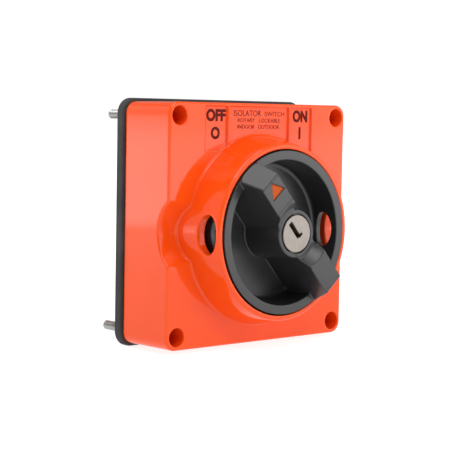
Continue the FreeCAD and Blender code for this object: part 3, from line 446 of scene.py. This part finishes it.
def knob_field(x, d, h):
    """The dished knob with its handle bar, hub and padlock holes, at OFF."""
    rho = length(x, h)
    along, across = handle_axes(x, h)
    pan = np.maximum(rho - KNOB_RADIUS, slab(d, *KNOB_SPAN))
    dish = meet(tapered(rho, d, DISH_RADIUS, DISH_FLOOR, DISH_SLOPE), DISH_FLOOR - d, 1.8)
    pan = carve(pan, dish, 0.45)
    hub = meet(tapered(rho, d, HUB_FOOT, DISH_FLOOR, HUB_SLOPE), d - HUB_FRONT, 0.4)
    hub = np.maximum(hub, KNOB_BASE - d)
    bar = handle_field(d, rho, along, across)
    sleeve = np.maximum(rho - SLEEVE_RADIUS, slab(d, *SLEEVE_SPAN))
    solid = join(join(pan, join(hub, bar, 0.6), 0.5), sleeve, 0.3)
    pocket = np.maximum(triangle(along, across), HANDLE_FRONT - POINTER_SINK - d)
    solid = carve(solid, pocket, 0.1)
    port = ellipse(d - KNOB_PORT_DEPTH, h, *KNOB_PORT_HALF)
    solid = carve(solid, np.maximum(port, KNOB_PORT_START - np.abs(x)), 0.25)
    behind_rim = np.maximum(KNOB_WALL_RADIUS - rho, slab(d, *KNOB_WALL_SPAN))
    solid = carve(solid, behind_rim, 0.2)
    solid = carve(solid, np.maximum(rho - KNOB_BORE, d - LIP_DEPTH))
    channel = np.maximum(np.abs(x) - CHANNEL_HALF, slab(d, *CHANNEL_SPAN))
    solid = carve(solid, np.maximum(channel, slab(h, *CHANNEL_REACH)))
    return carve(solid, rho - LIP_RADIUS, 0.25)


def plug_field(x, d, h):
    """Lock plug with its shallow dish and its key slot."""
    rho = length(x, h)
    along, across = handle_axes(x, h)
    head = meet(rho - PLUG_RADIUS, d - PLUG_FRONT, 0.4)
    core = np.maximum(rho - PLUG_CORE_RADIUS, slab(d, *PLUG_CORE_SPAN))
    solid = np.minimum(np.maximum(head, PLUG_SHOULDER - d), core)
    dish = length(rho, d - PLUG_DISH_CENTRE) - PLUG_DISH_RADIUS
    solid = carve(solid, dish, 0.1)
    slot = np.maximum(rectangle(along - 2.05, across, 3.95, 1.1, 0.15), KEY_DEPTH - d)
    ward = np.maximum(rectangle(along + 1.85, across - 1.15, 0.65, 1.15, 0.1), WARD_DEPTH - d)
    return carve(solid, np.minimum(slot, ward), 0.12)


# -------------------------------------------------------------------------------------- materials

def node(tree, kind, **settings):
    """New shader node; settings with a matching input set its value, others set the property."""
    item = tree.nodes.new(kind)
    for key, value in settings.items():
        if key in item.inputs:
            item.inputs[key].default_value = value
        else:
            setattr(item, key, value)
    return item


def ramp(tree, source, low, high, low_at, high_at):
    """Colour that goes from low to high as the source goes from low_at to high_at."""
    item = tree.nodes.new("ShaderNodeValToRGB")
    for stop, color, place in zip(item.color_ramp.elements, (low, high), (low_at, high_at)):
        stop.color, stop.position = (*color, 1), place
    tree.links.new(source, item.inputs["Fac"])
    return item.outputs["Color"]


def blend(tree, factor, a, b, **settings):
    """Mix of a linked colour with another colour, linked or plain."""
    item = node(tree, "ShaderNodeMix", data_type="RGBA", **settings)
    tree.links.new(a, item.inputs["A"])
    if isinstance(factor, float):
        item.inputs["Factor"].default_value = factor
    else:
        tree.links.new(factor, item.inputs["Factor"])
    if isinstance(b, tuple):
        item.inputs["B"].default_value = (*b, 1)
    else:
        tree.links.new(b, item.inputs["B"])
    return item.outputs["Result"]


def shade(name, color, rough, metal=0.0, ior=1.5, grain=1500.0, bump=0.1, relief=0.0001, slow=40.0,
          drift=0.06, speck=0.0, edge_wear_and_sheen=0.25, edge=None):
    """Procedural material: fine grain, slow colour drift, uneven polish and edges lightened as wear and as a
    painted highlight.
    """
    material = bpy.data.materials.new(name)
    material.use_nodes = True
    tree = material.node_tree
    shader = tree.nodes["Principled BSDF"]
    link = tree.links.new
    place = node(tree, "ShaderNodeTexCoord").outputs["Object"]
    clouds = node(tree, "ShaderNodeTexNoise", Scale=slow, Detail=3.0)
    fine = node(tree, "ShaderNodeTexNoise", Scale=grain, Detail=2.0)
    link(place, clouds.inputs["Vector"])
    link(place, fine.inputs["Vector"])
    dark = [channel * (1 - drift) for channel in color]
    light = [min(1, channel * (1 + drift)) for channel in color]
    tone = ramp(tree, clouds.outputs["Fac"], dark, light, 0.35, 0.65)
    if speck:
        spots = ramp(tree, fine.outputs["Fac"], (0.35, 0.35, 0.35), (1, 1, 1), 0.4, 0.62)
        tone = blend(tree, speck, tone, spots, blend_type="MULTIPLY")
    # Convex edges get a lighter base colour: partly wear, partly a painted highlight standing in for the glint on
    # rounded edges.
    edges = node(tree, "ShaderNodeNewGeometry")
    worn_and_sheen = node(tree, "ShaderNodeMapRange", **{"From Min": 0.52, "From Max": 0.62, "To Max": edge_wear_and_sheen})
    link(edges.outputs["Pointiness"], worn_and_sheen.inputs["Value"])
    edge = edge or tuple(min(1, channel * 1.6 + 0.03) for channel in color)
    link(blend(tree, worn_and_sheen.outputs["Result"], tone, edge), shader.inputs["Base Color"])
    polish = node(tree, "ShaderNodeMapRange", **{"To Min": rough * 0.88, "To Max": min(1, rough * 1.14)})
    link(clouds.outputs["Fac"], polish.inputs["Value"])
    link(polish.outputs["Result"], shader.inputs["Roughness"])
    grained = node(tree, "ShaderNodeBump", Strength=bump, Distance=relief)
    link(fine.outputs["Fac"], grained.inputs["Height"])
    link(grained.outputs["Normal"], shader.inputs["Normal"])
    shader.inputs["Metallic"].default_value = metal
    shader.inputs["IOR"].default_value = ior
    return material


LOOKS = {
    "cover_plastic": shade("orange_gloss", (0.89, 0.076, 0.005), 0.07, ior=1.39, grain=900, bump=0.02,
                           drift=0.03, edge_wear_and_sheen=0.1),
    "gasket_rubber": shade("gasket_rubber", (0.065, 0.063, 0.063), 0.9, ior=1.15, grain=2600, bump=0.5,
                           slow=90, drift=0.12),
    "plated_steel": shade("zinc_plate", (0.42, 0.42, 0.40), 0.36, metal=1.0, grain=1800, bump=0.15,
                          slow=220, drift=0.1),
    "washer_nylon": shade("washer_nylon", (0.70, 0.68, 0.60), 0.45, drift=0.05),
    "legend_paint": shade("legend_paint", (0.10, 0.008, 0.005), 0.8, ior=1.12, grain=3000, bump=0.2,
                          slow=700, drift=0.15),
    # The knob's light edge colour is mostly a painted highlight for the bright lines along the handle's ridges.
    "knob_plastic": shade("knob_grained", (0.020, 0.020, 0.022), 0.29, ior=1.55, grain=2600, bump=0.4,
                          relief=0.00006, slow=120, drift=0.1, edge_wear_and_sheen=0.25, edge=(0.07, 0.07, 0.074)),
    "pointer_plastic": shade("pointer_orange", (0.55, 0.085, 0.008), 0.6, ior=1.25, grain=2200, bump=0.3,
                             drift=0.08),
    "seal_rubber": shade("seal_rubber", (0.01, 0.01, 0.01), 0.5, grain=2500, bump=0.3),
    "spring_steel": shade("spring_steel", (0.42, 0.42, 0.43), 0.28, metal=1.0, grain=2000, bump=0.2,
                          slow=200),
    "bearing_nylon": shade("bearing_nylon", (0.74, 0.71, 0.62), 0.4, drift=0.05),
    "rotor_plastic": shade("rotor_plastic", (0.016, 0.016, 0.018), 0.42, grain=2400, bump=0.3),
    "lock_nickel": shade("blasted_nickel", (0.36, 0.325, 0.29), 0.46, metal=1.0, grain=3600, bump=0.9,
                         relief=0.00012, slow=500, drift=0.06, speck=0.25),
    "lock_brass": shade("lock_brass", (0.62, 0.42, 0.14), 0.3, metal=1.0, grain=2000, bump=0.2, slow=240),
    "case_plastic": shade("case_grey", (0.60, 0.59, 0.55), 0.45, grain=2200, bump=0.35, slow=90,
                          drift=0.04),
    "contact_copper": shade("contact_copper", (0.72, 0.32, 0.15), 0.3, metal=1.0, grain=1800, bump=0.2,
                            slow=200),
}
RATING_INK = shade("rating_ink", (0.17, 0.02, 0.012), 0.8, ior=1.12, grain=3000, bump=0.1, slow=900,
                   drift=0.2)

# --------------------------------------------------------------------------------- the main pieces

def contour_piece(name, field, low, high, step, soft, body, slot, nodes):
    """Piece whose mesh is the zero surface of a field between two corners."""
    mesh = contour(name, field, low, high, step * COARSE, soft)
    return make_object(name, mesh, body, nodes, LOOKS[slot])


def pointer_field(x, d, h):
    """Orange inlay at the bottom of the pointer's pocket."""
    along, across = handle_axes(x, h)
    inlay = slab(d, HANDLE_FRONT - POINTER_SINK - 0.01, HANDLE_FRONT - 0.8)
    return meet(triangle(along, across, 0.04), inlay, 0.1)


GASKET_HALF = 51.9
GASKET_CORNER = 6.5
GASKET_OPENING = (46.5, 39.0)


def gasket_field(x, d, h):
    """Rubber frame with soft edges and an opening for the mechanism."""
    z = h + AXIS_Z
    sheet = meet(rectangle(x, z, GASKET_HALF, GASKET_HALF, GASKET_CORNER), slab(d, 0.0, COVER_BACK), 0.7)
    long, short = GASKET_OPENING
    opening = np.minimum(rectangle(x, z, long, short, 1.0), rectangle(x, z, short, long, 1.0))
    sheet = carve(sheet, opening, 0.3)
    return carve(sheet, length(np.abs(x) - PITCH, np.abs(z) - PITCH) - WELL_RADIUS, 0.2)


contour_piece("cover_shell", cover_field, (-51.5, 2.6, -48.7), (51.5, 49.0, 54.5), 0.5, 0.14,
              "housing", "cover_plastic", ["front_cover", "cover_collar", "corner_posts", "cover_walls"])
contour_piece("knob_body", knob_field, (-35.0, 17.0, -35.0), (35.0, 59.5, 35.0), 0.31, 0.08,
              "knob_assembly", "knob_plastic", ["knob", "knob_handle"])
contour_piece("lock_face", plug_field, (-8.2, 39.6, -8.2), (8.2, 55.4, 8.2), 0.2, 0.06,
              "lock_core", "lock_nickel", ["lock_plug"])
contour_piece("pointer_triangle", pointer_field, (-22.5, 56.8, 12.0), (-10.5, 58.2, 24.0), 0.14, 0.06,
              "knob_assembly", "pointer_plastic", ["pointer_inlay"])
contour_piece("gasket_frame", gasket_field, (-52.6, -0.6, -49.8), (52.6, 4.1, 55.6), 0.45, 0.1,
              "housing", "gasket_rubber", ["cover_gasket"])


# --------------------------------------------------------------------------- screws and lettering

THREAD_RADIUS = 1.95
THREAD_PITCH = 0.8
THREAD_HEIGHT = 0.5
THREAD_END = 9.0
NECK_RADIUS = 1.55
HEAD_RADIUS = 3.4
HEAD_HEIGHT = 2.4
CROSS_HALF = (2.1, 0.45)
SCREW_TIP = -14.5
SCREW_FLOAT = 2.0


def screw_field(x, z, tip, seat):
    """Field of an M4 pan-head screw: a rolled thread, a thinner neck and a cross recess in the head."""

    def field(px, d, pz):
        across, up = px - x, pz - z
        rho = length(across, up)
        turn = np.arctan2(up, across) / (2 * math.pi)
        crest = np.abs(((d / THREAD_PITCH - turn) % 1.0) - 0.5) * 2
        thread = meet(rho - THREAD_RADIUS + THREAD_HEIGHT * (1 - crest), tip - d, 0.5)
        thread = meet(thread, d - seat + THREAD_END, 0.3)
        neck = np.maximum(rho - NECK_RADIUS, slab(d, seat - THREAD_END - 1.0, seat + 0.2))
        head = np.maximum(meet(rho - HEAD_RADIUS, d - seat - HEAD_HEIGHT, 1.0), seat - d)
        long, short = CROSS_HALF
        cross = np.minimum(rectangle(across, up, long, short), rectangle(across, up, short, long))
        head = carve(head, np.maximum(cross, seat + 1.0 - d), 0.08)
        return np.minimum(np.minimum(thread, neck), head)

    return field


# The two upper screws stand a little out of their wells.
for i, (side_x, side_z) in enumerate(CORNERS):
    screw_x, screw_z = side_x * PITCH, side_z * PITCH - AXIS_Z
    lift = SCREW_FLOAT if side_z > 0 else 0.0
    tip, seat = SCREW_TIP + lift, WELL_FLOOR + lift
    contour_piece("cover_screw_%d" % i, screw_field(screw_x, screw_z, tip, seat),
                  (screw_x - 3.8, tip - 0.4, screw_z - 3.8), (screw_x + 3.8, seat + 2.8, screw_z + 3.8),
                  0.16, 0.05, "housing", "plated_steel", ["cover_screws"] if i == 0 else [])

PRINT_THICK = 0.06
PRINT_DEPTH = FACE - POCKET_SINK + PRINT_THICK


def lettering(name, text, x, z, height, width, nodes, material, bold=0.0):
    """Raised print on the cover: x is the middle and z the middle height in the row frame, in mm."""
    curve = bpy.data.curves.new(name, "FONT")
    curve.body = text
    curve.align_x = "CENTER"
    curve.resolution_u = 6
    curve.offset = bold
    curve.extrude = 0.5
    piece = bpy.data.objects.new(name, curve)
    bpy.context.scene.collection.objects.link(piece)
    bpy.context.view_layer.update()
    mesh = bpy.data.meshes.new_from_object(piece)
    bpy.data.objects.remove(piece)
    points = np.array([v.co for v in mesh.vertices])
    low, high = points.min(0), points.max(0)
    scaled = (points - (low + high) / 2) / (high - low) * np.array([width, height, PRINT_THICK])
    for vertex, (px, pz, pd) in zip(mesh.vertices, scaled):
        vertex.co = ((x + px) * MM, -(PRINT_DEPTH + pd) * MM, (z + pz) * MM)
    mesh.materials.clear()
    return make_object(name, mesh, "housing", nodes, material)


INK = LOOKS["legend_paint"]
lettering("legend_off", "OFF", -25.05, 45.3, 5.1, 10.7, ["off_legend"], INK, bold=0.05)
lettering("legend_on", "ON", 23.5, 45.4, 5.2, 8.8, ["on_legend"], INK, bold=0.05)
lettering("legend_zero", "O", -25.3, 38.0, 5.2, 4.9, [], INK, bold=0.045)
lettering("legend_one", "I", 23.4, 38.2, 5.2, 1.1, [], INK)
lettering("rating_line_1", "ISOLATOR", -7.4, 46.3, 2.5, 15.5, [], RATING_INK)
lettering("rating_line_2", "ROTARY   LOCKABLE", -0.7, 43.4, 1.7, 24.4, [], RATING_INK)
lettering("rating_line_3", "INDOOR   OUTDOOR", -0.9, 40.7, 1.7, 24.0, [], RATING_INK)
lettering("rating_side", "SWITCH", 8.2, 46.2, 1.9, 11.6, [], RATING_INK)


# -------------------------------------------------------------------- carried-over mechanism pieces

def soften(name, width):
    """Copy of a CAD node with bevelled edges, which stands for it."""
    mesh = frame["nodes"][name].data.copy()
    mesh.materials.clear()
    slot = next(row["material_slot"] for row in record["subparts"] if row["node"] == name)
    body = next(key for key, members in record["behaviour"]["bodies"].items() if name in members)
    piece = make_object("soft_" + name, mesh, body, [name], LOOKS[slot])
    weld = piece.modifiers.new("weld", "WELD")
    weld.merge_threshold = 1e-6
    flatten = piece.modifiers.new("flatten", "DECIMATE")
    flatten.decimate_type = "DISSOLVE"
    flatten.angle_limit = math.radians(1.5)
    bevel = piece.modifiers.new("bevel", "BEVEL")
    bevel.width = width * MM
    bevel.segments = 2
    bevel.limit_method = "ANGLE"
    bevel.angle_limit = math.radians(40)
    bevel.harden_normals = True
    triangles = piece.modifiers.new("triangles", "TRIANGULATE")
    triangles.keep_custom_normals = True


for name in ("latch_housing", "latch_cover", "pole_body_front", "pole_body_rear", "rear_cap"):
    soften(name, 0.3)
for name in ("mechanism_screws", "terminal_screws", "screw_washers", "knob_bearing", "retaining_ring"):
    soften(name, 0.15)

for row in record["subparts"]:
    shown = frame["nodes"][row["node"]]
    shown.data.materials.clear()
    shown.data.materials.append(LOOKS[row["material_slot"]])


# ------------------------------------------------------------------------ floor, light and camera

FLOOR = cad_bounds[0][2] - 0.0002
FLOOR_HALF = 6.0
FLOOR_GREY = 0.3
WHITE = (1, 1, 1, 1)


def make_floor():
    """Pale floor just under the object, which glows more the further it is from it."""
    mesh = bpy.data.meshes.new("floor")
    corners = [(sx * FLOOR_HALF, sy * FLOOR_HALF, FLOOR) for sx, sy in CORNERS]
    mesh.from_pydata(corners, [], [(0, 1, 2, 3)])
    piece = bpy.data.objects.new("floor", mesh)
    bpy.context.scene.collection.objects.link(piece)
    material = bpy.data.materials.new("floor")
    material.use_nodes = True
    mesh.materials.append(material)
    tree = material.node_tree
    shader = tree.nodes["Principled BSDF"]
    shader.inputs["Base Color"].default_value = (FLOOR_GREY, FLOOR_GREY, FLOOR_GREY, 1)
    shader.inputs["Roughness"].default_value = 0.8
    shader.inputs["Emission Color"].default_value = WHITE
    far = node(tree, "ShaderNodeVectorMath", operation="LENGTH")
    glow = node(tree, "ShaderNodeMapRange",
                **{"From Min": 0.1, "From Max": 0.5, "To Min": 0.86, "To Max": 1.2})
    tree.links.new(node(tree, "ShaderNodeTexCoord").outputs["Object"], far.inputs[0])
    tree.links.new(far.outputs["Value"], glow.inputs["Value"])
    tree.links.new(glow.outputs["Result"], shader.inputs["Emission Strength"])


def panel(name, position, target, width, height, glow):
    """Soft rectangular light of a given radiance that faces a target point."""
    lamp = bpy.data.lights.new(name, "AREA")
    lamp.shape = "RECTANGLE"
    lamp.size, lamp.size_y = width, height
    lamp.energy = glow * math.pi * width * height
    piece = bpy.data.objects.new(name, lamp)
    piece.visible_camera = False
    bpy.context.scene.collection.objects.link(piece)
    toward = Vector(target) - Vector(position)
    facing = toward.to_track_quat("-Z", "Y").to_matrix().to_4x4()
    piece.matrix_world = Matrix.Translation(position) @ facing


def standing_panel(name, position, target, width, base, top, glow):
    """Upright panel that reaches from base to top above the floor."""
    middle = FLOOR + (base + top) / 2
    panel(name, (*position, middle), (*target, middle), width, top - base, glow)


def make_world(light, backdrop):
    """White surroundings that light the object less than the camera sees them."""
    world = bpy.data.worlds.new("studio")
    bpy.context.scene.world = world
    world.use_nodes = True
    tree = world.node_tree
    background = tree.nodes["Background"]
    background.inputs["Color"].default_value = WHITE
    seen = node(tree, "ShaderNodeMapRange", **{"To Min": light, "To Max": backdrop})
    tree.links.new(node(tree, "ShaderNodeLightPath").outputs["Is Camera Ray"], seen.inputs["Value"])
    tree.links.new(seen.outputs["Result"], background.inputs["Strength"])


def make_camera(place, azimuth, elevation, roll):
    """Camera that looks along the given angles, in degrees, from the left front of the object."""
    data = bpy.data.cameras.new("camera")
    data.sensor_width = 36.0
    data.lens = 118.92
    data.shift_x = -0.00095
    data.shift_y = -0.0107
    data.clip_start = 0.01
    camera = bpy.data.objects.new("camera", data)
    bpy.context.scene.collection.objects.link(camera)
    aim = Matrix.Rotation(-math.radians(azimuth), 4, "Z")
    tilt = Matrix.Rotation(math.radians(90 - elevation), 4, "X")
    camera.matrix_world = Matrix.Translation(place) @ aim @ tilt @ Matrix.Rotation(math.radians(roll), 4, "Z")
    bpy.context.scene.camera = camera


make_floor()
standing_panel("panel_right_front", (0.47, -0.57), (0, -0.03), 0.75, 0.002, 0.622, 1.75)
standing_panel("panel_left_back", (-0.45, 0.445), (-0.05, 0.0), 0.85, 0.006, 0.096, 2.25)
standing_panel("panel_left_high", (-0.45, 0.445), (-0.05, 0.0), 0.85, 0.096, 0.626, 0.7)
panel("panel_top_front", (-0.30, -0.62, 0.90), (0, 0, 0), 0.6, 0.5, 3.6)
panel("panel_overhead", (-0.12, -0.1, 0.95), (-0.12, -0.09, 0), 0.8, 0.7, 2.5)
make_world(light=0.36, backdrop=1.05)
make_camera((-0.43128, -0.48871, 0.04486), azimuth=42.062, elevation=3.994, roll=1.012)
bpy.context.scene.view_settings.view_transform = "Standard"
